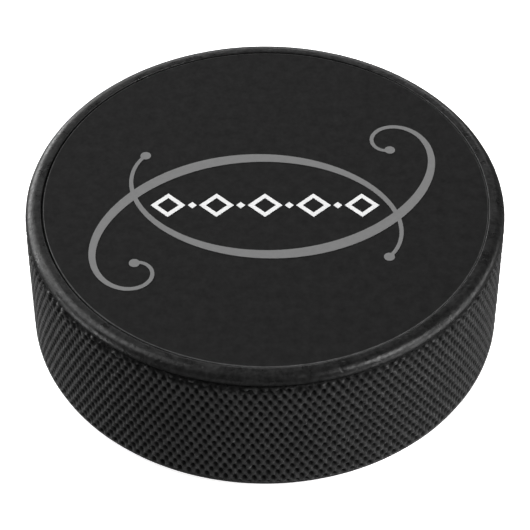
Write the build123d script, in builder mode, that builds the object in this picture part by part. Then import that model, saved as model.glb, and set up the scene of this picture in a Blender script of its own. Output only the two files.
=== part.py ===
"""Ice hockey puck: a moulded rubber body with a printed face disc bonded into its top recess.

Millimetres, +Z up, origin at the centre of the underside. The print on the face reads
upright for somebody who looks along +Y.
"""

import os
from math import cos, hypot, pi, radians, sin

from build123d import *

# ---- Driving dimensions -------------------------------------------------------------------

# Rubber body
puck_radius = 38.1
puck_height = 25.4
rim_round_radius = 1.8  # outer shoulder of each rim
rim_land = 0.65  # flat ring on the crest of each rim, which the puck rests on
rim_lip_radius = 0.15  # inner edge of each rim
rim_height = 1.3  # from the upper face down to the relief groove
groove_width = 0.9  # between the upper rim and the grip band
groove_depth = 0.8
face_recess_depth = 0.75
base_recess_depth = 0.6
recess_corner_radius = 0.15  # foot of each recess wall

# Face disc and the adhesive under it
disc_thickness = 0.5
disc_clearance = 0.22  # between the disc's edge and the recess wall
disc_edge_bevel = 0.08
adhesive_thickness = 0.12
adhesive_setback = 0.8  # how far the adhesive stops inside the disc's edge

# Print
ink_thickness = 0.06
print_margin = 3.4  # bare disc left outside the print's furthest curls
print_drop = 1.2  # how far the middle of the print lies below the middle of the face
scroll_bar = 1.9  # stroke width at its middle
scroll_hairline = 0.6  # stroke width at its ends
scroll_ball_radius = 0.85  # round drop that ends each stroke
scroll_sweep = 95.0  # degrees turned by each half of a stroke in its long sweep
scroll_outer_curl = 260.0  # degrees that the outer end turns on top of that, in its curl
scroll_inner_curl = 60.0  # the same at the end that crosses the other stroke
scroll_tightness = 5  # how late the curls begin
scroll_rise = 0.13  # from the print's middle up to the stroke's, as a share of its length
scroll_slide = 0.074  # the same to the left
scroll_lean = 21.0  # degrees
row_share = 0.59  # length of the lozenge row as a share of the print's width
lozenge_count = 5
lozenge_height = 5.2
lozenge_line = 0.7  # width of the line that each open lozenge is drawn with
spacer_size = 1.4  # small solid lozenges between the open ones
spacer_gap = 0.4  # on each side of a spacer
print_gap = 0.2  # bare disc kept round the lozenges where a stroke would reach them

# ---- Sizes that follow from them ----------------------------------------------------------

recess_radius = puck_radius - rim_round_radius - rim_land - rim_lip_radius
groove_floor_radius = puck_radius - groove_depth
recess_floor = puck_height - face_recess_depth
disc_radius = recess_radius - disc_clearance
disc_seat = recess_floor + adhesive_thickness
disc_top = disc_seat + disc_thickness
adhesive_radius = disc_radius - adhesive_setback
print_radius = disc_radius - print_margin - print_drop
row_length = 2 * print_radius * row_share
lozenge_gap = spacer_size + 2 * spacer_gap
lozenge_length = (row_length - (lozenge_count - 1) * lozenge_gap) / lozenge_count
lozenge_pitch = lozenge_length + lozenge_gap

face_plane = Plane.XY.offset(puck_height)
recess_plane = Plane.XY.offset(recess_floor)
seat_plane = Plane.XY.offset(disc_seat)
print_plane = Plane.XY.offset(disc_top)


def circle_edges(part, radius, height):
    """The part's circular edges of one radius that lie at one height."""
    level = part.edges().filter_by(GeomType.CIRCLE).filter_by_position(
        Axis.Z, height - 0.001, height + 0.001
    )
    return level.filter_by(lambda edge: abs(edge.radius - radius) < 0.001)


# ---- Rubber body --------------------------------------------------------------------------

with BuildPart() as rubber_body:
    # One moulding: a short cylinder whose two shoulders are well rounded.
    with BuildSketch():
        Circle(puck_radius)
    extrude(amount=puck_height)
    fillet(circle_edges(rubber_body, puck_radius, 0), rim_round_radius)
    fillet(circle_edges(rubber_body, puck_radius, puck_height), rim_round_radius)

    # A relief groove parts the upper rim from the grip band, which runs down to the lower one.
    with BuildSketch(face_plane.offset(-rim_height)):
        Circle(puck_radius + 1)
        Circle(groove_floor_radius, mode=Mode.SUBTRACT)
    extrude(amount=-groove_width, mode=Mode.SUBTRACT)

    # Both faces are sunk between the rims; the disc sits in the upper one.
    with BuildSketch(face_plane):
        Circle(recess_radius)
    extrude(amount=-face_recess_depth, mode=Mode.SUBTRACT)
    with BuildSketch():
        Circle(recess_radius)
    extrude(amount=base_recess_depth, mode=Mode.SUBTRACT)
    fillet(circle_edges(rubber_body, recess_radius, puck_height), rim_lip_radius)
    fillet(circle_edges(rubber_body, recess_radius, 0), rim_lip_radius)
    fillet(circle_edges(rubber_body, recess_radius, recess_floor), recess_corner_radius)
    fillet(circle_edges(rubber_body, recess_radius, base_recess_depth), recess_corner_radius)

# ---- Adhesive film ------------------------------------------------------------------------

with BuildPart() as adhesive_film:
    with BuildSketch(recess_plane):
        Circle(adhesive_radius)
    extrude(amount=adhesive_thickness)

# ---- Face disc ----------------------------------------------------------------------------

with BuildPart() as face_disc:
    with BuildSketch(seat_plane):
        Circle(disc_radius)
    extrude(amount=disc_thickness)
    chamfer(circle_edges(face_disc, disc_radius, disc_top), disc_edge_bevel)

# ---- Print, in two inks -------------------------------------------------------------------


def scroll_walk(stations=48, steps=10):
    """(u, x, y, heading) along a scroll stroke of length 1, from its outer to its inner end.

    Its heading at u, from -1 at the outer end to 1 at the inner one, is a steady sweep plus
    a curl that grows with a power of u. It is walked in short straight steps.
    """
    count = stations * steps
    x, y, walk = 0.0, 0.0, []
    for step in range(count + 1):
        u = 2 * step / count - 1
        curl = scroll_outer_curl if u < 0 else scroll_inner_curl
        heading = -radians(scroll_sweep * u + curl * u**scroll_tightness)
        walk.append((u, x, y, heading))
        x += cos(heading) / count
        y += sin(heading) / count
    middle_x = walk[count // 2][1] + scroll_slide
    middle_y = walk[count // 2][2] - scroll_rise
    return [(u, x - middle_x, y - middle_y, heading) for u, x, y, heading in walk[::steps]]


def scroll_edges(reach):
    """The points on a stroke's two sides when its furthest point lies at reach."""
    walk = scroll_walk()
    length = (reach - scroll_ball_radius) / max(hypot(x, y) for u, x, y, heading in walk)
    left, right = [], []
    for u, x, y, heading in walk:
        swell = cos(pi * u / 2) ** 2
        half = (scroll_hairline + (scroll_bar - scroll_hairline) * swell) / 2
        left.append((length * x - half * sin(heading), length * y + half * cos(heading)))
        right.append((length * x + half * sin(heading), length * y - half * cos(heading)))
    return left, right


def lozenge_corners(length, height):
    """The four corners of a lozenge about its own middle."""
    return [(length / 2, 0), (0, height / 2), (-length / 2, 0), (0, -height / 2)]


left_side, right_side = scroll_edges(print_radius)
stroke_ends = [(Vector(*left_side[end]) + Vector(*right_side[end])) / 2 for end in (0, -1)]

# The inner lozenge that leaves a line of even width, as a share of the outer one.
open_share = 1 - 2 * lozenge_line * hypot(1 / lozenge_length, 1 / lozenge_height)

with BuildSketch() as scroll_stroke:
    with BuildLine():
        Spline(*left_side)
        Spline(*right_side)
        Line(left_side[0], right_side[0])
        Line(left_side[-1], right_side[-1])
    make_face()
    with Locations(*stroke_ends):
        Circle(scroll_ball_radius)

with BuildPart() as centre_print:
    with BuildSketch(print_plane):
        with Locations((0, -print_drop)):
            with GridLocations(lozenge_pitch, 1, lozenge_count, 1):
                Polygon(*lozenge_corners(lozenge_length, lozenge_height))
                Polygon(
                    *lozenge_corners(lozenge_length * open_share, lozenge_height * open_share),
                    mode=Mode.SUBTRACT,
                )
            with GridLocations(lozenge_pitch, 1, lozenge_count - 1, 1):
                Polygon(*lozenge_corners(spacer_size, spacer_size))
    extrude(amount=ink_thickness)

with BuildPart() as scroll_print:
    with BuildSketch(print_plane):
        for turn in (0, 180):
            with Locations(Location((0, -print_drop, 0), (0, 0, scroll_lean + turn))):
                add(scroll_stroke.sketch)
        with Locations((0, -print_drop)):
            with GridLocations(lozenge_pitch, 1, lozenge_count, 1):
                Polygon(
                    *lozenge_corners(lozenge_length + 2 * print_gap, lozenge_height + 2 * print_gap),
                    mode=Mode.SUBTRACT,
                )
    extrude(amount=ink_thickness)

# ---- Write the pieces ---------------------------------------------------------------------

rubber_body.part.label = "rubber_body"
adhesive_film.part.label = "adhesive_film"
face_disc.part.label = "face_disc"
scroll_print.part.label = "scroll_print"
centre_print.part.label = "centre_print"

os.makedirs("parts", exist_ok=True)
export_step(rubber_body.part, "parts/rubber_body.step")
export_step(adhesive_film.part, "parts/adhesive_film.step")
export_step(face_disc.part, "parts/face_disc.step")
export_step(scroll_print.part, "parts/scroll_print.step")
export_step(centre_print.part, "parts/centre_print.step")

for piece in (rubber_body, adhesive_film, face_disc, scroll_print, centre_print):
    size = piece.part.bounding_box().size
    print(
        f"{piece.part.label}: {len(piece.part.solids())} solids, {piece.part.volume:.2f} mm3, "
        f"{size.X:.2f} x {size.Y:.2f} x {size.Z:.2f} mm"
    )
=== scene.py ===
# %% [markdown]
# # An ice hockey puck, built around its CAD frame
#
# A puck is pressed from black rubber in a heated mould. This one has a smooth rounded rim at
# each face, a knurled band between the rims for grip, and a thin printed disc glued into a
# shallow recess. The CAD model holds the sizes, and this script gives each piece the shape
# and finish that a person would see.
#
# The frame is loaded first, because every size and place below comes from it.

# %% Load the frame
from math import asin, ceil, cos, degrees, pi, radians, sin, tan

import bmesh
import bpy
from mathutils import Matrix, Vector, noise


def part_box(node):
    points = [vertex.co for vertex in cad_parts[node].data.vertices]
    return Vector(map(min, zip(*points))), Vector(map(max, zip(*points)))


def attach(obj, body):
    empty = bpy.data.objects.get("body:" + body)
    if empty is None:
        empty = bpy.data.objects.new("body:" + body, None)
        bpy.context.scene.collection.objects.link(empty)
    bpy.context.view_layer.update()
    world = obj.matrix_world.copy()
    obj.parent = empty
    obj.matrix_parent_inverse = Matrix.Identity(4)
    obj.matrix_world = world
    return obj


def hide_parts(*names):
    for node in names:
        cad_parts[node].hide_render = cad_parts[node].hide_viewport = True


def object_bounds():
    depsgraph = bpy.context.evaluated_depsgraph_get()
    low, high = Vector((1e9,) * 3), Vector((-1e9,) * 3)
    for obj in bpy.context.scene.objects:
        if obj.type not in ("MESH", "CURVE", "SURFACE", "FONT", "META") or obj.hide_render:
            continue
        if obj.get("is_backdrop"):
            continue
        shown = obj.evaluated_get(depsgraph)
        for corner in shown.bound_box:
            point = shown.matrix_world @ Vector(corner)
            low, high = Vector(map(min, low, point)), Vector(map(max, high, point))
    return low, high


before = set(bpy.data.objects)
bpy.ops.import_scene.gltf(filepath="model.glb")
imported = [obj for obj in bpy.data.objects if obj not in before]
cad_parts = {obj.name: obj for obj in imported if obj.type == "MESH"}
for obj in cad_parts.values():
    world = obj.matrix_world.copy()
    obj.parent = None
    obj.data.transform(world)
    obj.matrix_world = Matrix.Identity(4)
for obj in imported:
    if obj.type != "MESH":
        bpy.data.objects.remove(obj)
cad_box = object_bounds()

scene = bpy.context.scene

# %% [markdown]
# The overall sizes are measured on the CAD nodes. The small ones, such as a lip's radius,
# can't be read from a box, so they are named here in millimetres, the unit a mould maker
# thinks in, and turned into metres once.

# %% Sizes
MM = 0.001

_, body_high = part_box("rubber_body")
disc_low, disc_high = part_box("face_disc")
puck_radius = body_high.x
puck_height = body_high.z
disc_radius = disc_high.x
disc_seat = disc_low.z
disc_top = disc_high.z

# The rims: their heights, the rounding outside, the flat land and the lip at the recess.
rim_height = 1.3 * MM
base_rim_height = 1.5 * MM
rim_round = 1.8 * MM
rim_land = 0.65 * MM
rim_lip = 0.15 * MM

# The relief groove under the upper rim, the two recesses and the disc's rolled edge.
groove_width = 0.9 * MM
groove_depth = 0.8 * MM
face_recess = 0.75 * MM
base_recess = 0.6 * MM
recess_corner = 0.15 * MM
disc_bevel = 0.1 * MM

recess_radius = puck_radius - rim_round - rim_land - rim_lip
band_radius = puck_radius
band_foot = base_rim_height
band_top = puck_height - rim_height - groove_width
band_height = band_top - band_foot
print(f"puck {2 * puck_radius / MM:.1f} x {puck_height / MM:.1f} mm")
print(f"grip band {band_height / MM:.2f} mm high")

# %% [markdown]
# ## Small helpers for node trees
#
# Geometry and shader nodes are both made by adding a node, setting a few options, and
# linking its sockets. One helper does all three, so that a tree below reads like a list of
# steps. A value that is a socket is linked, and any other value is typed in.

# %% Node helpers
def add_node(tree, kind, inputs=(), **options):
    """A new node with its options set and its inputs linked or filled."""
    node = tree.nodes.new(kind)
    for name, value in options.items():
        setattr(node, name, value)
    for name, value in dict(inputs).items():
        if isinstance(value, bpy.types.NodeSocket):
            tree.links.new(value, node.inputs[name])
        else:
            node.inputs[name].default_value = value
    return node


def calculate(tree, operation, *values):
    """The result of one Math node."""
    return add_node(tree, "ShaderNodeMath", enumerate(values), operation=operation).outputs[0]


def remap(tree, value, low, high, to_low=0.0, to_high=1.0, kind="SMOOTHSTEP"):
    """The value carried from one range to another, and clamped there."""
    source = {"Value": value, "From Min": low, "From Max": high}
    target = {"To Min": to_low, "To Max": to_high}
    node = add_node(tree, "ShaderNodeMapRange", {**source, **target}, interpolation_type=kind)
    return node.outputs["Result"]


def noise_field(tree, position, scale, detail=2.0, roughness=0.5):
    """The value of one Noise Texture."""
    inputs = {"Vector": position, "Scale": scale, "Detail": detail, "Roughness": roughness}
    return add_node(tree, "ShaderNodeTexNoise", inputs).outputs["Fac"]


def new_tree(name, kind, inputs=(), outputs=()):
    """A node group with named sockets, and its input and output nodes."""
    tree = bpy.data.node_groups.new(name, kind)
    for label, socket_type, value in inputs:
        socket = tree.interface.new_socket(label, in_out="INPUT", socket_type=socket_type)
        if value is not None:
            socket.default_value = value
    for label, socket_type in outputs:
        tree.interface.new_socket(label, in_out="OUTPUT", socket_type=socket_type)
    given = tree.nodes.new("NodeGroupInput").outputs
    return tree, given, tree.nodes.new("NodeGroupOutput").inputs


print("helpers ready")

# %% [markdown]
# ## The grip band
#
# The band is covered with two families of ridges that climb round the puck like opposite
# screw threads. They leave small diamond-shaped pits between them. A mould maker cuts them
# with a knurling wheel in each direction. A displacement texture could fake them, but the
# pits are deep enough to shade each other, so they are real geometry.
#
# The shape follows a rule, so Geometry Nodes make it from one flat grid. Each column of the
# grid lies along a ridge of the right-hand family, and each row is slipped by whole steps so
# that its points also lie on the left-hand family. Wrapped round the puck, the grid closes on
# itself because both families have a whole number of starts.

# %% Knurl sizes
right_starts = 164
left_starts = 159
right_lean = radians(28.8)
left_lean = radians(32.2)
cuts_per_ridge = 5
pit_depth = 0.54 * MM

# The shape of a ridge, as shares of its width and of the pit's depth.
ridge_foot, ridge_top = 0.1, 0.84
ridge_crown = 0.16
ridge_blend = 0.08
knot_rise = 0.2
deepest_pit = 1.05

# The wear: its fineness, the noise that makes a rip, and where round the band the rips lie.
# They grow between two cosines from the worst side, and keep a low share elsewhere.
wear_scale, rip_scale = 700.0, 1100.0
rip_range = (0.42, 0.6)
tear_range = (0.3, 0.95, 0.25)
tear_side = radians(-142)

right_pitch = 2 * pi * band_radius / right_starts
left_pitch = 2 * pi * band_radius / left_starts
right_climb = tan(right_lean) / right_pitch
left_climb = tan(left_lean) / left_pitch
cross_rate = left_climb / right_pitch + right_climb / left_pitch
spare_rows = 4
rows_needed = ceil(band_height * cross_rate * right_pitch * cuts_per_ridge) + spare_rows
print(f"ridges every {right_pitch / MM:.3f} and {left_pitch / MM:.3f} mm round the band")
print("the grid needs", rows_needed, "rows")

# %% [markdown]
# The tree reads the grid point's column and row, works out where the two ridge families put
# it, and stops it at the band's edges. The height of each ridge is a smooth step across its
# width, and the taller of the two families wins, as it does where two threads cross. A
# little noise keeps the pits from being perfect copies, because rubber tears slightly as it
# leaves the mould.

# %% Knurl tree
def knurl_tree():
    tree, given, result = new_tree(
        "knurled band",
        "GeometryNodeTree",
        [
            ("Radius", "NodeSocketFloat", 0.038),
            ("Height", "NodeSocketFloat", 0.02),
            ("Foot", "NodeSocketFloat", 0.0),
            ("Pit Depth", "NodeSocketFloat", 0.0004),
            ("Right Starts", "NodeSocketInt", 164),
            ("Left Starts", "NodeSocketInt", 159),
            ("Right Climb", "NodeSocketFloat", 300.0),
            ("Left Climb", "NodeSocketFloat", 300.0),
            ("Cuts", "NodeSocketInt", 5),
            ("Rows", "NodeSocketInt", 90),
            ("Unevenness", "NodeSocketFloat", 0.3),
            ("Tear", "NodeSocketFloat", 1.5),
            ("Tear Reach", "NodeSocketFloat", 0.002),
            ("Tear Side", "NodeSocketFloat", 0.0),
            ("Seed", "NodeSocketFloat", 3.0),
            ("Finish", "NodeSocketMaterial", None),
        ],
        [("Band", "NodeSocketGeometry")],
    )

    def work(operation, *values):
        return calculate(tree, operation, *values)

    columns = work("MULTIPLY", given["Right Starts"], given["Cuts"])
    grid = add_node(
        tree,
        "GeometryNodeMeshGrid",
        {
            "Size X": columns,
            "Size Y": given["Rows"],
            "Vertices X": work("ADD", columns, 1),
            "Vertices Y": work("ADD", given["Rows"], 1),
        },
    )
    here = tree.nodes.new("GeometryNodeInputPosition").outputs[0]
    spot = add_node(tree, "ShaderNodeSeparateXYZ", {0: here})
    column = work("ROUND", work("MULTIPLY_ADD", columns, 0.5, spot.outputs["X"]))
    row = work("ROUND", work("MULTIPLY_ADD", given["Rows"], 0.5, spot.outputs["Y"]))

    # Turns of each ridge family at this point, in ridges. Half of the spare rows lie below.
    slip = work("MULTIPLY", column, given["Left Starts"])
    slip = work("ROUND", work("DIVIDE", slip, given["Right Starts"]))
    right = work("DIVIDE", column, given["Cuts"])
    left = work("ADD", work("SUBTRACT", row, spare_rows / 2), slip)
    left = work("DIVIDE", left, given["Cuts"])

    # Where those turns cross: a height above the band's foot and a length round the band.
    round_band = work("MULTIPLY", given["Radius"], 2 * pi)
    right_rate = work("DIVIDE", given["Right Starts"], round_band)
    left_rate = work("DIVIDE", given["Left Starts"], round_band)
    crossing = work(
        "ADD",
        work("MULTIPLY", right_rate, given["Left Climb"]),
        work("MULTIPLY", left_rate, given["Right Climb"]),
    )
    free_height = work(
        "DIVIDE",
        work("SUBTRACT", work("MULTIPLY", right_rate, left), work("MULTIPLY", left_rate, right)),
        crossing,
    )
    height = work("MINIMUM", work("MAXIMUM", free_height, 0.0), given["Height"])
    along = work("MULTIPLY_ADD", height, given["Right Climb"], right)
    along = work("DIVIDE", along, right_rate)
    left_here = work("MULTIPLY", left_rate, along)
    left_here = work("MULTIPLY_ADD", height, given["Left Climb"], left_here)

    def ridge(turns):
        """1 on a ridge of this family, 0 in the middle between two."""
        off_pit = work("ABSOLUTE", work("SUBTRACT", work("FRACT", turns), 0.5))
        share = work("MULTIPLY", off_pit, 2.0)
        crown = work("MULTIPLY", work("SUBTRACT", share, 1.0), ridge_crown)
        return work("ADD", remap(tree, share, ridge_foot, ridge_top), crown)

    # Where two ridges cross, the rubber stands a little higher than on either alone.
    first, second = ridge(right), ridge(left_here)
    knot = work("SUBTRACT", work("MINIMUM", first, second), 1.0)
    knot = work("MULTIPLY", knot, knot_rise)
    relief = work("ADD", work("SMOOTH_MAX", first, second, ridge_blend), knot)

    angle = work("DIVIDE", along, given["Radius"])
    level = work("ADD", height, given["Foot"])

    def on_puck(radius):
        """The place at this angle and level, at a distance from the axis."""
        spot = {
            "X": work("MULTIPLY", work("COSINE", angle), radius),
            "Y": work("MULTIPLY", work("SINE", angle), radius),
            "Z": level,
        }
        return add_node(tree, "ShaderNodeCombineXYZ", spot).outputs[0]

    def wear(place, scale, detail):
        """Noise that is the same for the same place and seed."""
        inputs = {"Vector": place, "W": given["Seed"], "Scale": scale, "Detail": detail}
        node = add_node(tree, "ShaderNodeTexNoise", inputs, noise_dimensions="4D")
        return node.outputs["Fac"]

    # The pits differ a little, and so do the ridges.
    ring = on_puck(given["Radius"])
    uneven = work("SUBTRACT", wear(ring, wear_scale, 1.0), 0.5)
    uneven = work("MULTIPLY", uneven, given["Unevenness"])

    # The ridge ends are torn where the band meets the upper groove, most of all on one side.
    tear_foot = work("SUBTRACT", given["Height"], given["Tear Reach"])
    near_top = remap(tree, height, tear_foot, given["Height"])
    facing = work("COSINE", work("SUBTRACT", angle, given["Tear Side"]))
    torn = work("MULTIPLY", remap(tree, wear(ring, rip_scale, 2.0), *rip_range), near_top)
    torn = work("MULTIPLY", torn, remap(tree, facing, *tear_range))
    torn = work("MULTIPLY", torn, given["Tear"])

    # What is left of the relief sinks the point below the ridges, but no deeper than a pit.
    height_left = work("SUBTRACT", work("ADD", relief, uneven), torn)
    sunk = work("MULTIPLY", work("SUBTRACT", height_left, 1.0), given["Pit Depth"])
    floor = work("MULTIPLY", given["Pit Depth"], -deepest_pit)
    sunk = work("MAXIMUM", work("MINIMUM", sunk, 0.0), floor)
    place = on_puck(work("ADD", given["Radius"], sunk))
    wrapped = add_node(
        tree, "GeometryNodeSetPosition", {"Geometry": grid.outputs["Mesh"], "Position": place}
    )

    # The last column lands on the first, and the squeezed rows on the band's edges.
    closed = add_node(
        tree, "GeometryNodeMergeByDistance", {"Geometry": wrapped.outputs[0], "Distance": 2e-6}
    )
    # Splitting each face along its shorter diagonal keeps the edges on the ridges.
    split = add_node(
        tree, "GeometryNodeTriangulate", {0: closed.outputs[0]}, quad_method="SHORTEST_DIAGONAL"
    )
    real = add_node(tree, "GeometryNodeRealizeInstances", {"Geometry": split.outputs[0]})
    finished = add_node(
        tree, "GeometryNodeSetMaterial", {"Geometry": real.outputs[0], "Material": given["Finish"]}
    )
    tree.links.new(finished.outputs[0], result["Band"])
    return tree


print("knurl tree ready")

# %% [markdown]
# ## Finishes
#
# Three effects are used by more than one material, so each is a node group that is built
# once: a fine grain for the surface, a cloudy variation in tone, and specks of dust. Each
# puts out a value that changes over the surface, and the shader itself stays in the
# material.

# %% Shared effects
def grain_group():
    """Fine moulded grain: a height for a Bump node."""
    tree, given, result = new_tree(
        "moulded grain",
        "ShaderNodeTree",
        [
            ("Position", "NodeSocketVector", None),
            ("Grain Size", "NodeSocketFloat", 0.0002),
            ("Pores", "NodeSocketFloat", 0.5),
        ],
        [("Height", "NodeSocketFloat")],
    )
    fine = calculate(tree, "DIVIDE", 1.0, given["Grain Size"])
    grain = noise_field(tree, given["Position"], fine, 3.0, 0.6)
    pores = noise_field(tree, given["Position"], calculate(tree, "MULTIPLY", fine, 0.4), 1.0)
    holes = calculate(tree, "MULTIPLY", remap(tree, pores, 0.62, 0.72), given["Pores"])
    tree.links.new(calculate(tree, "SUBTRACT", grain, holes), result["Height"])
    return tree


def cloud_group():
    """Slow mottling of tone, from 1 minus Strength to 1 plus Strength."""
    tree, given, result = new_tree(
        "cloudy tone",
        "ShaderNodeTree",
        [
            ("Position", "NodeSocketVector", None),
            ("Cloud Size", "NodeSocketFloat", 0.004),
            ("Strength", "NodeSocketFloat", 0.1),
        ],
        [("Tone", "NodeSocketFloat")],
    )
    scale = calculate(tree, "DIVIDE", 1.0, given["Cloud Size"])
    clouds = noise_field(tree, given["Position"], scale, 4.0, 0.6)
    centred = calculate(tree, "MULTIPLY", calculate(tree, "SUBTRACT", clouds, 0.5), 4.0)
    tree.links.new(calculate(tree, "MULTIPLY_ADD", centred, given["Strength"], 1.0), result["Tone"])
    return tree


def dust_group():
    """Sparse pale specks: a mask that is 1 on a speck."""
    tree, given, result = new_tree(
        "dust specks",
        "ShaderNodeTree",
        [
            ("Position", "NodeSocketVector", None),
            ("Spacing", "NodeSocketFloat", 0.003),
            ("Speck Size", "NodeSocketFloat", 0.05),
            ("Amount", "NodeSocketFloat", 0.3),
        ],
        [("Mask", "NodeSocketFloat")],
    )
    scale = calculate(tree, "DIVIDE", 1.0, given["Spacing"])
    cells = add_node(tree, "ShaderNodeTexVoronoi", {"Vector": given["Position"], "Scale": scale})
    near = calculate(tree, "LESS_THAN", cells.outputs["Distance"], given["Speck Size"])
    picked = add_node(tree, "ShaderNodeSeparateColor", {0: cells.outputs["Color"]}).outputs[0]
    chosen = calculate(tree, "LESS_THAN", picked, given["Amount"])
    tree.links.new(calculate(tree, "MULTIPLY", near, chosen), result["Mask"])
    return tree


GRAIN, CLOUDS, DUST = grain_group(), cloud_group(), dust_group()
print("effects", [group.name for group in (GRAIN, CLOUDS, DUST)])


# %% [markdown]
# A material starts the same way each time: a Principled shader, an output, and the Object
# coordinates. Those are the same in every view and stay with the piece.

# %% Material start
def new_material(name, **settings):
    """A material, its tree, its Principled shader and its Object coordinates."""
    material = bpy.data.materials.new(name)
    material.use_nodes = True
    tree = material.node_tree
    shader = tree.nodes["Principled BSDF"]
    for socket, value in settings.items():
        shader.inputs[socket.replace("_", " ")].default_value = value
    position = add_node(tree, "ShaderNodeTexCoord").outputs["Object"]
    return material, tree, shader, position


def use_group(tree, group, **inputs):
    """The single output of a shared effect placed in this tree."""
    node = add_node(tree, "ShaderNodeGroup", node_tree=group)
    for name, value in inputs.items():
        name = name.replace("_", " ")
        if isinstance(value, bpy.types.NodeSocket):
            tree.links.new(value, node.inputs[name])
        else:
            node.inputs[name].default_value = value
    return node.outputs[0]


def grey_tone(tree, tone, base, dust=None, dust_tone=0.3):
    """A grey colour: a base level times a tone, with dust mixed over it."""
    level = calculate(tree, "MULTIPLY", tone, base)
    if dust is not None:
        mixed = add_node(tree, "ShaderNodeMix", {"Factor": dust, "A": level, "B": dust_tone})
        level = mixed.outputs["Result"]
    channels = {"Red": level, "Green": level, "Blue": level}
    return add_node(tree, "ShaderNodeCombineColor", channels).outputs[0]


def bump(tree, height, distance, strength=1.0):
    """A normal roughened by a height."""
    inputs = {"Height": height, "Distance": distance, "Strength": strength}
    return add_node(tree, "ShaderNodeBump", inputs).outputs["Normal"]


print("materials can be made")

# %% [markdown]
# ### Black rubber
#
# Vulcanised rubber filled with carbon black is very dark, and its shine is soft and broken
# by the grain of the mould. The rims are smoother than the band, because they are polished
# in the mould and rubbed in use, and their shine is smeared where hands have touched them.
# The pits of the knurl keep a dull skin and gather no polish, so the distance from the puck's
# axis drives the shine there, and it darkens their colour as painted shade. The groove under
# the upper rim is darkened with painted shade too. Where a value differs between the band
# and the rims, a mask carries it from one to the other.

# %% Rubber
band_grey, rim_grey = 0.029, 0.007
band_shine, rim_shine = 0.4, 0.18
band_sheen, rim_sheen = 0.21, 0.01
band_bump, rim_bump = 1.0, 0.25
band_roughness, rim_smoother = 0.43, 0.1
smear_scale = 420.0

# What a pit keeps of a ridge's tone and shine, and what the groove loses of both: the lost tone is
# painted shade in the pits and in the groove.
pit_shade_tone, pit_shine = 0.4, 0.05
groove_painted_shade = 0.85


def rubber_material():
    material, tree, shader, position = new_material("black rubber", Sheen_Roughness=0.35)
    clouds = use_group(tree, CLOUDS, Position=position, Cloud_Size=0.0007, Strength=0.48)
    dust = use_group(tree, DUST, Position=position, Spacing=0.0022, Speck_Size=0.035, Amount=0.2)
    grain = use_group(tree, GRAIN, Position=position, Grain_Size=0.0003, Pores=0.6)
    place = add_node(tree, "ShaderNodeSeparateXYZ", {0: position})

    # 1 on the rims, 0 on the band and in the groove.
    upper = remap(tree, place.outputs["Z"], band_top + 0.85 * groove_width, band_top + groove_width)
    lower = remap(tree, place.outputs["Z"], band_foot - 0.2 * MM, band_foot, 1.0, 0.0)
    rim = calculate(tree, "MAXIMUM", upper, lower)

    # 0 at the foot of a pit, 1 on a ridge.
    flat = add_node(tree, "ShaderNodeVectorMath", {0: position, 1: (1, 1, 0)}, operation="MULTIPLY")
    reach = add_node(tree, "ShaderNodeVectorMath", {0: flat.outputs[0]}, operation="LENGTH")
    pit_shade_to, ridge_from = band_radius - 0.7 * pit_depth, band_radius - 0.05 * pit_depth
    polish_and_pit_shade = remap(tree, reach.outputs["Value"], pit_shade_to, ridge_from)
    polish_and_pit_shade = calculate(tree, "MAXIMUM", polish_and_pit_shade, rim)

    # 1 on the open skin, less in the groove, where painted shade darkens the colour and the shine.
    groove_shade_mask = remap(tree, place.outputs["Z"], band_top, band_top + 0.15 * MM)
    groove_shade_mask = calculate(tree, "MULTIPLY", groove_shade_mask, calculate(tree, "SUBTRACT", 1.0, upper))
    groove_shade_factor = calculate(tree, "MULTIPLY_ADD", groove_shade_mask, -groove_painted_shade, 1.0)
    # The cloudy tone is the rubber's own; the groove's share of it is painted shade.
    mottle_and_groove_shade = calculate(tree, "MULTIPLY", clouds, groove_shade_factor)

    def by_place(on_band, on_rim):
        """A value that changes from the band to the rims."""
        return remap(tree, rim, 0.0, 1.0, on_band, on_rim)

    # The pits' darker colour is painted shade, darkest at the foot of a pit.
    tone = calculate(tree, "MULTIPLY_ADD", polish_and_pit_shade, 1 - pit_shade_tone, pit_shade_tone)
    tone = calculate(tree, "MULTIPLY", mottle_and_groove_shade, tone)
    tone = calculate(tree, "MULTIPLY", tone, by_place(band_grey, rim_grey))
    tree.links.new(grey_tone(tree, tone, 1.0, dust), shader.inputs["Base Color"])

    shine = calculate(tree, "MULTIPLY_ADD", polish_and_pit_shade, by_place(band_shine, rim_shine), pit_shine)
    shine = calculate(tree, "MULTIPLY", mottle_and_groove_shade, shine)
    tree.links.new(shine, shader.inputs["Specular IOR Level"])
    bloom = calculate(tree, "MULTIPLY", polish_and_pit_shade, by_place(band_sheen, rim_sheen))
    tree.links.new(bloom, shader.inputs["Sheen Weight"])

    smears = noise_field(tree, position, smear_scale, 4.0, 0.65)
    smears = remap(tree, smears, 0.3, 0.7, -0.08, 0.1)
    rough = calculate(tree, "MULTIPLY_ADD", rim, -rim_smoother, band_roughness)
    tree.links.new(calculate(tree, "ADD", smears, rough), shader.inputs["Roughness"])
    grainy = bump(tree, grain, 0.00013, by_place(band_bump, rim_bump))
    tree.links.new(grainy, shader.inputs["Normal"])
    return material


RUBBER = rubber_material()
print("made", RUBBER.name)

# %% [markdown]
# ### Printed sheet, inks and adhesive
#
# The disc is a thin sheet printed solid black with a matt finish, so it is nearly even, with
# only a faint cloudiness from the ink and a very fine tooth. Its cut edge is paler, because
# the ink covers the face and not the thickness of the sheet. An attribute on the mesh marks
# that edge.

# %% Sheet, inks and adhesive
sheet_grey, cut_edge_grey = 0.0074, 0.12


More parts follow.
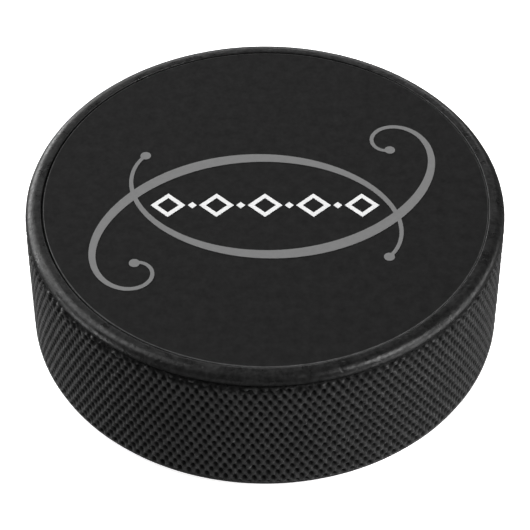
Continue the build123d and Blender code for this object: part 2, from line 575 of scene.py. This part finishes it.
def sheet_material():
    material, tree, shader, position = new_material("matt black sheet", Specular_IOR_Level=0.08)
    clouds = use_group(tree, CLOUDS, Position=position, Cloud_Size=0.0018, Strength=0.38)
    dust = use_group(tree, DUST, Position=position, Spacing=0.004, Speck_Size=0.012, Amount=0.1)
    grain = use_group(tree, GRAIN, Position=position, Grain_Size=0.00012, Pores=0.1)
    cut = add_node(tree, "ShaderNodeAttribute", attribute_name="cut_edge").outputs["Fac"]
    level = remap(tree, cut, 0.0, 1.0, sheet_grey, cut_edge_grey, "LINEAR")
    level = calculate(tree, "MULTIPLY", clouds, level)
    tree.links.new(grey_tone(tree, level, 1.0, dust), shader.inputs["Base Color"])
    rough = noise_field(tree, position, 1500.0)
    tree.links.new(remap(tree, rough, 0.3, 0.7, 0.68, 0.82), shader.inputs["Roughness"])
    tree.links.new(bump(tree, grain, 0.00001), shader.inputs["Normal"])
    return material


def ink_material(name, base, gloss):
    material, tree, shader, position = new_material(name, Specular_IOR_Level=0.3)
    clouds = use_group(tree, CLOUDS, Position=position, Cloud_Size=0.0012, Strength=0.05)
    grain = use_group(tree, GRAIN, Position=position, Grain_Size=0.0001, Pores=0.2)
    tree.links.new(grey_tone(tree, clouds, base), shader.inputs["Base Color"])
    rough = noise_field(tree, position, 2000.0)
    tree.links.new(remap(tree, rough, 0.3, 0.7, gloss, gloss + 0.12), shader.inputs["Roughness"])
    tree.links.new(bump(tree, grain, 0.000008), shader.inputs["Normal"])
    return material


def adhesive_material():
    material, tree, shader, position = new_material("milky adhesive film", Specular_IOR_Level=0.5)
    clouds = use_group(tree, CLOUDS, Position=position, Cloud_Size=0.002, Strength=0.12)
    grain = use_group(tree, GRAIN, Position=position, Grain_Size=0.0004, Pores=0.8)
    tree.links.new(grey_tone(tree, clouds, 0.5), shader.inputs["Base Color"])
    tree.links.new(remap(tree, clouds, 0.8, 1.2, 0.25, 0.45), shader.inputs["Roughness"])
    tree.links.new(bump(tree, grain, 0.00003), shader.inputs["Normal"])
    return material


SHEET = sheet_material()
GREY_INK = ink_material("grey ink", 0.13, 0.6)
WHITE_INK = ink_material("white ink", 0.6, 0.55)
ADHESIVE = adhesive_material()
print("made", [m.name for m in (SHEET, GREY_INK, WHITE_INK, ADHESIVE)])

# %% [markdown]
# ## Making the grip band
#
# The tree runs as a modifier on an empty mesh. Its inputs are set by each socket's
# identifier, because that is the key the modifier stores them under. The evaluated result is
# then kept as a plain mesh, and the carrier is thrown away.

# %% Band mesh
def run_tree(tree, name, **values):
    """The plain mesh that a Geometry Nodes tree makes with these input values."""
    carrier = bpy.data.objects.new(name, bpy.data.meshes.new(name))
    scene.collection.objects.link(carrier)
    modifier = carrier.modifiers.new(name, "NODES")
    modifier.node_group = tree
    for item in tree.interface.items_tree:
        label = item.name.replace(" ", "_")
        if item.in_out == "INPUT" and label in values:
            modifier[item.identifier] = values[label]
    evaluated = carrier.evaluated_get(bpy.context.evaluated_depsgraph_get())
    mesh = bpy.data.meshes.new_from_object(evaluated)
    bpy.data.objects.remove(carrier)
    return mesh


band_mesh = run_tree(
    knurl_tree(),
    "knurled_band",
    Radius=band_radius,
    Height=band_height,
    Foot=band_foot,
    Pit_Depth=pit_depth,
    Right_Starts=right_starts,
    Left_Starts=left_starts,
    Right_Climb=right_climb,
    Left_Climb=left_climb,
    Cuts=cuts_per_ridge,
    Rows=rows_needed,
    Tear_Side=tear_side,
    Finish=RUBBER,
)
print("band has", len(band_mesh.vertices), "points and", len(band_mesh.polygons), "faces")

# %% [markdown]
# ## The rims, the recesses and the whole moulding
#
# Everything but the band is a shape of revolution, so it is drawn as half of a section and
# turned round the axis in code, as on a lathe. The upper section runs from the band into the
# relief groove, over the rounded rim and into the recess, and closes at the axis. The lower
# one has no groove and goes straight over its rim. The band has two points for each point
# of the lathe's rings, so the first ring is joined to it with three triangles to a step. The
# result is one closed skin, as the real moulding is one piece of rubber.

# %% Rim sections
# Small corners of the sections: how far in, and how far up.
groove_foot_corner = (0.12 * MM, 0.15 * MM)
groove_head_corner = (0.15 * MM, 0.2 * MM)
rim_undercut = 0.12 * MM
rim_edge_corner = (0.02 * MM, 0.03 * MM)
land_step = 0.3 * MM
base_rim_gap = 0.06 * MM

# The rounding starts a few degrees above its cut, and each arc has this many steps.
rim_start = 3
rim_steps, lip_steps, corner_steps = 14, 4, 3


def arc(centre_r, centre_z, radius, start, end, steps):
    """Points on an arc in the (r, z) section, both ends included. Angles in degrees."""
    turns = [radians(start + (end - start) * step / steps) for step in range(steps + 1)]
    return [(centre_r + radius * cos(turn), centre_z + radius * sin(turn)) for turn in turns]


def groove_section():
    """Half section of the relief groove, as (r, distance beyond the band's edge)."""
    floor_radius = puck_radius - groove_depth
    foot_in, foot_up = groove_foot_corner
    head_in, head_up = groove_head_corner
    return [
        (floor_radius + foot_in, 0.0),
        (floor_radius, foot_up),
        (floor_radius, groove_width - head_up),
        (floor_radius + head_in, groove_width),
    ]


def rim_section(foot, height, recess_depth):
    """Half section of a rim and its recess, from a foot beyond the band's edge."""
    crest = foot + height
    recess_floor = crest - recess_depth
    # The rim's rounding is cut off at its foot, which leaves a corner there.
    cut = asin((rim_round - height) / rim_round)
    corner = puck_radius - rim_round + rim_round * cos(cut)
    edge_in, edge_up = rim_edge_corner
    points = [(corner - rim_undercut, foot), (corner - edge_in, foot + edge_up)]
    rounding = (puck_radius - rim_round, crest - rim_round, rim_round)
    points += arc(*rounding, degrees(cut) + rim_start, 90, rim_steps)
    points += [(recess_radius + rim_lip + land_step, crest)]
    points += arc(recess_radius + rim_lip, crest - rim_lip, rim_lip, 90, 180, lip_steps)
    fillet = (recess_radius - recess_corner, recess_floor + recess_corner, recess_corner)
    points += arc(*fillet, 0, -90, corner_steps)
    points += [(share * recess_radius, recess_floor) for share in (0.96, 0.7)]
    return points


upper_section = groove_section() + rim_section(groove_width, rim_height, face_recess)
lower_section = rim_section(base_rim_gap, base_rim_height - base_rim_gap, base_recess)
print("sections have", len(upper_section), "and", len(lower_section), "points")

# %% [markdown]
# Pressed rubber is never perfectly true, so each point of a rim is moved a few hundredths of
# a millimetre by smooth noise. That is enough to break the long highlights up.

# %% Moulding
def unevenness(point, size, amount):
    """A smooth random number about 0, the same each time for the same place."""
    return noise.noise(point / size) * amount


def edge_loop(mesh, height):
    """The mesh's boundary points at one height, in order round the axis."""
    on_edge = {point for edge in mesh.edges if edge.is_boundary for point in edge.verts}
    level = [point for point in on_edge if abs(point.co.z - height) < 0.01 * MM]
    return sorted(level, key=lambda point: Vector((1, 0)).angle_signed(point.co.xy) % (2 * pi))


def turn_rim(mesh, edge, section, edge_height, upward):
    """Lathes a section onto the band's edge and closes it at the axis."""
    half = edge[::2]
    rings = []
    for r, rise in section:
        ring = []
        for point in half:
            way = point.co.xy.normalized()
            spot = Vector((way.x * r, way.y * r, edge_height + upward * rise))
            wobble = 1 + unevenness(spot, 6 * MM, 0.0006) + unevenness(spot, 1.7 * MM, 0.0002)
            ring.append(mesh.verts.new((spot.x * wobble, spot.y * wobble, spot.z)))
        rings.append(ring)
    count = len(half)
    for step in range(count):
        after = (step + 1) % count
        near, middle = edge[2 * step], edge[2 * step + 1]
        far = edge[(2 * step + 2) % len(edge)]
        first, second = rings[0][step], rings[0][after]
        mesh.faces.new((near, middle, first))
        mesh.faces.new((middle, second, first))
        mesh.faces.new((middle, far, second))
        for inner, outer in zip(rings, rings[1:]):
            mesh.faces.new((inner[step], inner[after], outer[after], outer[step]))
    hub = mesh.verts.new((0, 0, rings[-1][0].co.z))
    for step in range(count):
        mesh.faces.new((rings[-1][step], rings[-1][(step + 1) % count], hub))


def moulding():
    mesh = bmesh.new()
    mesh.from_mesh(band_mesh)
    upper, lower = edge_loop(mesh, band_top), edge_loop(mesh, band_foot)
    print("band edges have", len(upper), "and", len(lower), "points")
    turn_rim(mesh, upper, upper_section, band_top, 1)
    turn_rim(mesh, lower, lower_section, band_foot, -1)
    bmesh.ops.recalc_face_normals(mesh, faces=mesh.faces)
    open_edges = sum(1 for edge in mesh.edges if not edge.is_manifold)
    print("moulding has", len(mesh.faces), "faces and", open_edges, "open edges")
    return mesh


def finished_piece(name, mesh, material, slot, *nodes):
    """Makes a smooth object from a bmesh, riding on the body and standing for CAD nodes."""
    data = bpy.data.meshes.new(name)
    mesh.to_mesh(data)
    mesh.free()
    data.materials.clear()
    data.materials.append(material)
    data.polygons.foreach_set("use_smooth", [True] * len(data.polygons))
    piece = bpy.data.objects.new(name, data)
    scene.collection.objects.link(piece)
    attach(piece, "root")
    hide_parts(*nodes)
    triangles = sum(len(face.vertices) - 2 for face in data.polygons)
    print(name, "has", triangles, "triangles")


finished_piece("rubber_moulding", moulding(), RUBBER, "rubber", "rubber_body")

# %% [markdown]
# ## The printed disc
#
# The disc is cut from thin sheet with a die, so its edge has a tiny rolled bevel and isn't
# perfectly round. It lies a hair off centre in its recess, which makes the dark gap wider on
# one side. It is lathed like the rims, and an attribute marks the bevel and the cut side for
# the sheet's material.

# %% Disc
def disc_mesh(steps=360, wander=0.03 * MM, off_centre=Vector((0.12 * MM, 0.06 * MM))):
    """The disc's bmesh, with the cut_edge attribute on its points."""
    mesh = bmesh.new()
    cut_edge = mesh.verts.layers.float.new("cut_edge")
    # Share of the radius, height, and how much of the cut edge shows there.
    section = [
        (0.3, disc_top, 0),
        (0.7, disc_top, 0),
        (0.95, disc_top, 0),
        (1 - 2 * disc_bevel / disc_radius, disc_top, 0),
        (1 - disc_bevel / disc_radius, disc_top, 0.15),
        (1 - 0.3 * disc_bevel / disc_radius, disc_top - 0.3 * disc_bevel, 0.85),
        (1, disc_top - disc_bevel, 1),
        (1, disc_seat + disc_bevel, 1),
        (1 - disc_bevel / disc_radius, disc_seat, 1),
        (0.9, disc_seat, 0),
    ]
    rings = []
    for share, z, mark in section:
        ring = []
        for step in range(steps):
            turn = 2 * pi * step / steps
            way = Vector((cos(turn), sin(turn), 0))
            loose = unevenness(way * puck_radius, 9 * MM, wander) * share
            spot = way * (share * disc_radius + loose)
            spot += Vector((*off_centre, 0)) * share
            point = mesh.verts.new((spot.x, spot.y, z))
            point[cut_edge] = mark
            ring.append(point)
        rings.append(ring)
    for step in range(steps):
        after = (step + 1) % steps
        for inner, outer in zip(rings, rings[1:]):
            mesh.faces.new((inner[step], inner[after], outer[after], outer[step]))
    mesh.faces.new(rings[0])
    mesh.faces.new(rings[-1])
    bmesh.ops.recalc_face_normals(mesh, faces=mesh.faces)
    return mesh


finished_piece("printed_disc", disc_mesh(), SHEET, "disc_sheet", "face_disc")

# %% [markdown]
# ## The inks and the adhesive
#
# The two inks and the film are already exactly the right shape in the CAD model: flat films
# with a clean outline. They stay as they are, and only their material slots change.

# %% Inks and adhesive
def refinish(node, material):
    """Gives a CAD node a better material in every slot."""
    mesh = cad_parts[node].data
    if not mesh.materials:
        mesh.materials.append(material)
    for index in range(len(mesh.materials)):
        mesh.materials[index] = material
    print(node, "is now", material.name)


refinish("scroll_print", GREY_INK)
refinish("centre_print", WHITE_INK)
refinish("adhesive_film", ADHESIVE)

# %% [markdown]
# ## Floor, light and camera
#
# The puck is shown as a shop shows it: on a white table that leaves no shadow, in soft light.
# Black rubber shows its shape only by what it reflects, so the light is a few named boxes and
# cards in a dim room, each for one highlight: a large box at the left and a small bright one
# at the right draw the long highlights on the rounded rim, and low cards skim the knurl. The
# table is seen by the camera only, and a faint glow from below stands in for its light.

# %% Stage
def white_table():
    mesh = bpy.data.meshes.new("white_table")
    half = 3.0
    corners = [(-half, -half, 0), (half, -half, 0), (half, half, 0), (-half, half, 0)]
    mesh.from_pydata(corners, [], [(0, 1, 2, 3)])
    table = bpy.data.objects.new("white_table", mesh)
    scene.collection.objects.link(table)
    material, tree, shader, position = new_material(
        "white table",
        Roughness=0.9,
        Specular_IOR_Level=0.1,
        Emission_Color=(1, 1, 1, 1),
        Emission_Strength=0.85,
    )
    clouds = use_group(tree, CLOUDS, Position=position, Cloud_Size=0.15, Strength=0.01)
    tree.links.new(grey_tone(tree, clouds, 0.8), shader.inputs["Base Color"])

    # Seen from underneath, the table is clear, so that the puck's base can be looked at.
    from_below = tree.nodes.new("ShaderNodeNewGeometry").outputs["Backfacing"]
    tree.links.new(calculate(tree, "SUBTRACT", 1.0, from_below), shader.inputs["Alpha"])
    mesh.materials.append(material)
    table.visible_diffuse = table.visible_glossy = False
    table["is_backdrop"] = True


def softbox(name, azimuth, elevation, width, height, brightness, away=1.6):
    """Places an area light that faces the puck. Azimuth 0 is the camera's side, 90 its right.

    Angles are in degrees, and the box's size and distance in metres.
    """
    light = bpy.data.lights.new(name, "AREA")
    light.shape = "RECTANGLE"
    light.size, light.size_y = width, height
    light.energy = brightness * pi * width * height
    lamp = bpy.data.objects.new(name, light)
    scene.collection.objects.link(lamp)
    turn, rise = radians(azimuth), radians(elevation)
    way = Vector((sin(turn) * cos(rise), -cos(turn) * cos(rise), sin(rise)))
    lamp.location = way * away
    lamp.rotation_euler = (-way).to_track_quat("-Z", "Y").to_euler()


table_glow = 0.16
room_glow = 0.05

white_table()
softbox("high_left_softbox", 247, 50, 1, 1, 5.8)
softbox("low_left_softbox", 228, 12, 1.5, 0.7, 7.6)
softbox("left_card", 282, 6, 0.8, 0.4, 10)
softbox("back_card", 180, 20, 1.4, 0.6, 3)
softbox("high_right_softbox", 62, 45, 0.4, 0.4, 36)
softbox("low_right_softbox", 84, 11, 1.6, 0.6, 6)
softbox("right_front_card", 44, 6, 0.9, 0.4, 4.5)
softbox("front_card", 350, 10, 1.5, 0.5, 0.8)

world = bpy.data.worlds.new("dim_room")
world.use_nodes = True
sky = world.node_tree
way = add_node(sky, "ShaderNodeTexCoord").outputs["Generated"]
rise = add_node(sky, "ShaderNodeSeparateXYZ", {0: way})
# The room is dim above the horizon. Below it, where the table would be, it glows a little.
glow = remap(sky, rise.outputs["Z"], -0.1, 0.0, table_glow, room_glow)
sky.links.new(glow, sky.nodes["Background"].inputs["Strength"])
sky.nodes["Background"].inputs["Color"].default_value = (1, 1, 1, 1)
scene.world = world
scene.view_settings.view_transform = "Standard"

# %% [markdown]
# The camera looks down at about forty-six degrees through a long lens, so the round face
# becomes an ellipse with very little perspective.

# %% Camera
camera_rise = radians(45.95)
camera_distance = 384 * MM
camera_lens = 160.5
camera_shift = -0.0187

camera = bpy.data.objects.new("camera", bpy.data.cameras.new("camera"))
scene.collection.objects.link(camera)
aim = Vector((0, 0, puck_height / 2))
away = Vector((0, -cos(camera_rise), sin(camera_rise)))
camera.location = aim + away * camera_distance
camera.rotation_euler = (-away).to_track_quat("-Z", "Y").to_euler()
camera.data.sensor_width = 36
camera.data.lens = camera_lens
camera.data.shift_y = camera_shift
camera.data.clip_start, camera.data.clip_end = 0.01, 20
scene.camera = camera
print("camera at", [round(value, 3) for value in camera.location])

# %% [markdown]
# Last, the CAD box and the finished model's box are measured, and how far the model reaches
# beyond the CAD box is printed.

visual_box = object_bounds()
grown = [b - a for c, v in zip(cad_box, visual_box) for a, b in zip(c, v)]
print("grown by", [round(value / MM, 3) for value in grown], "mm")
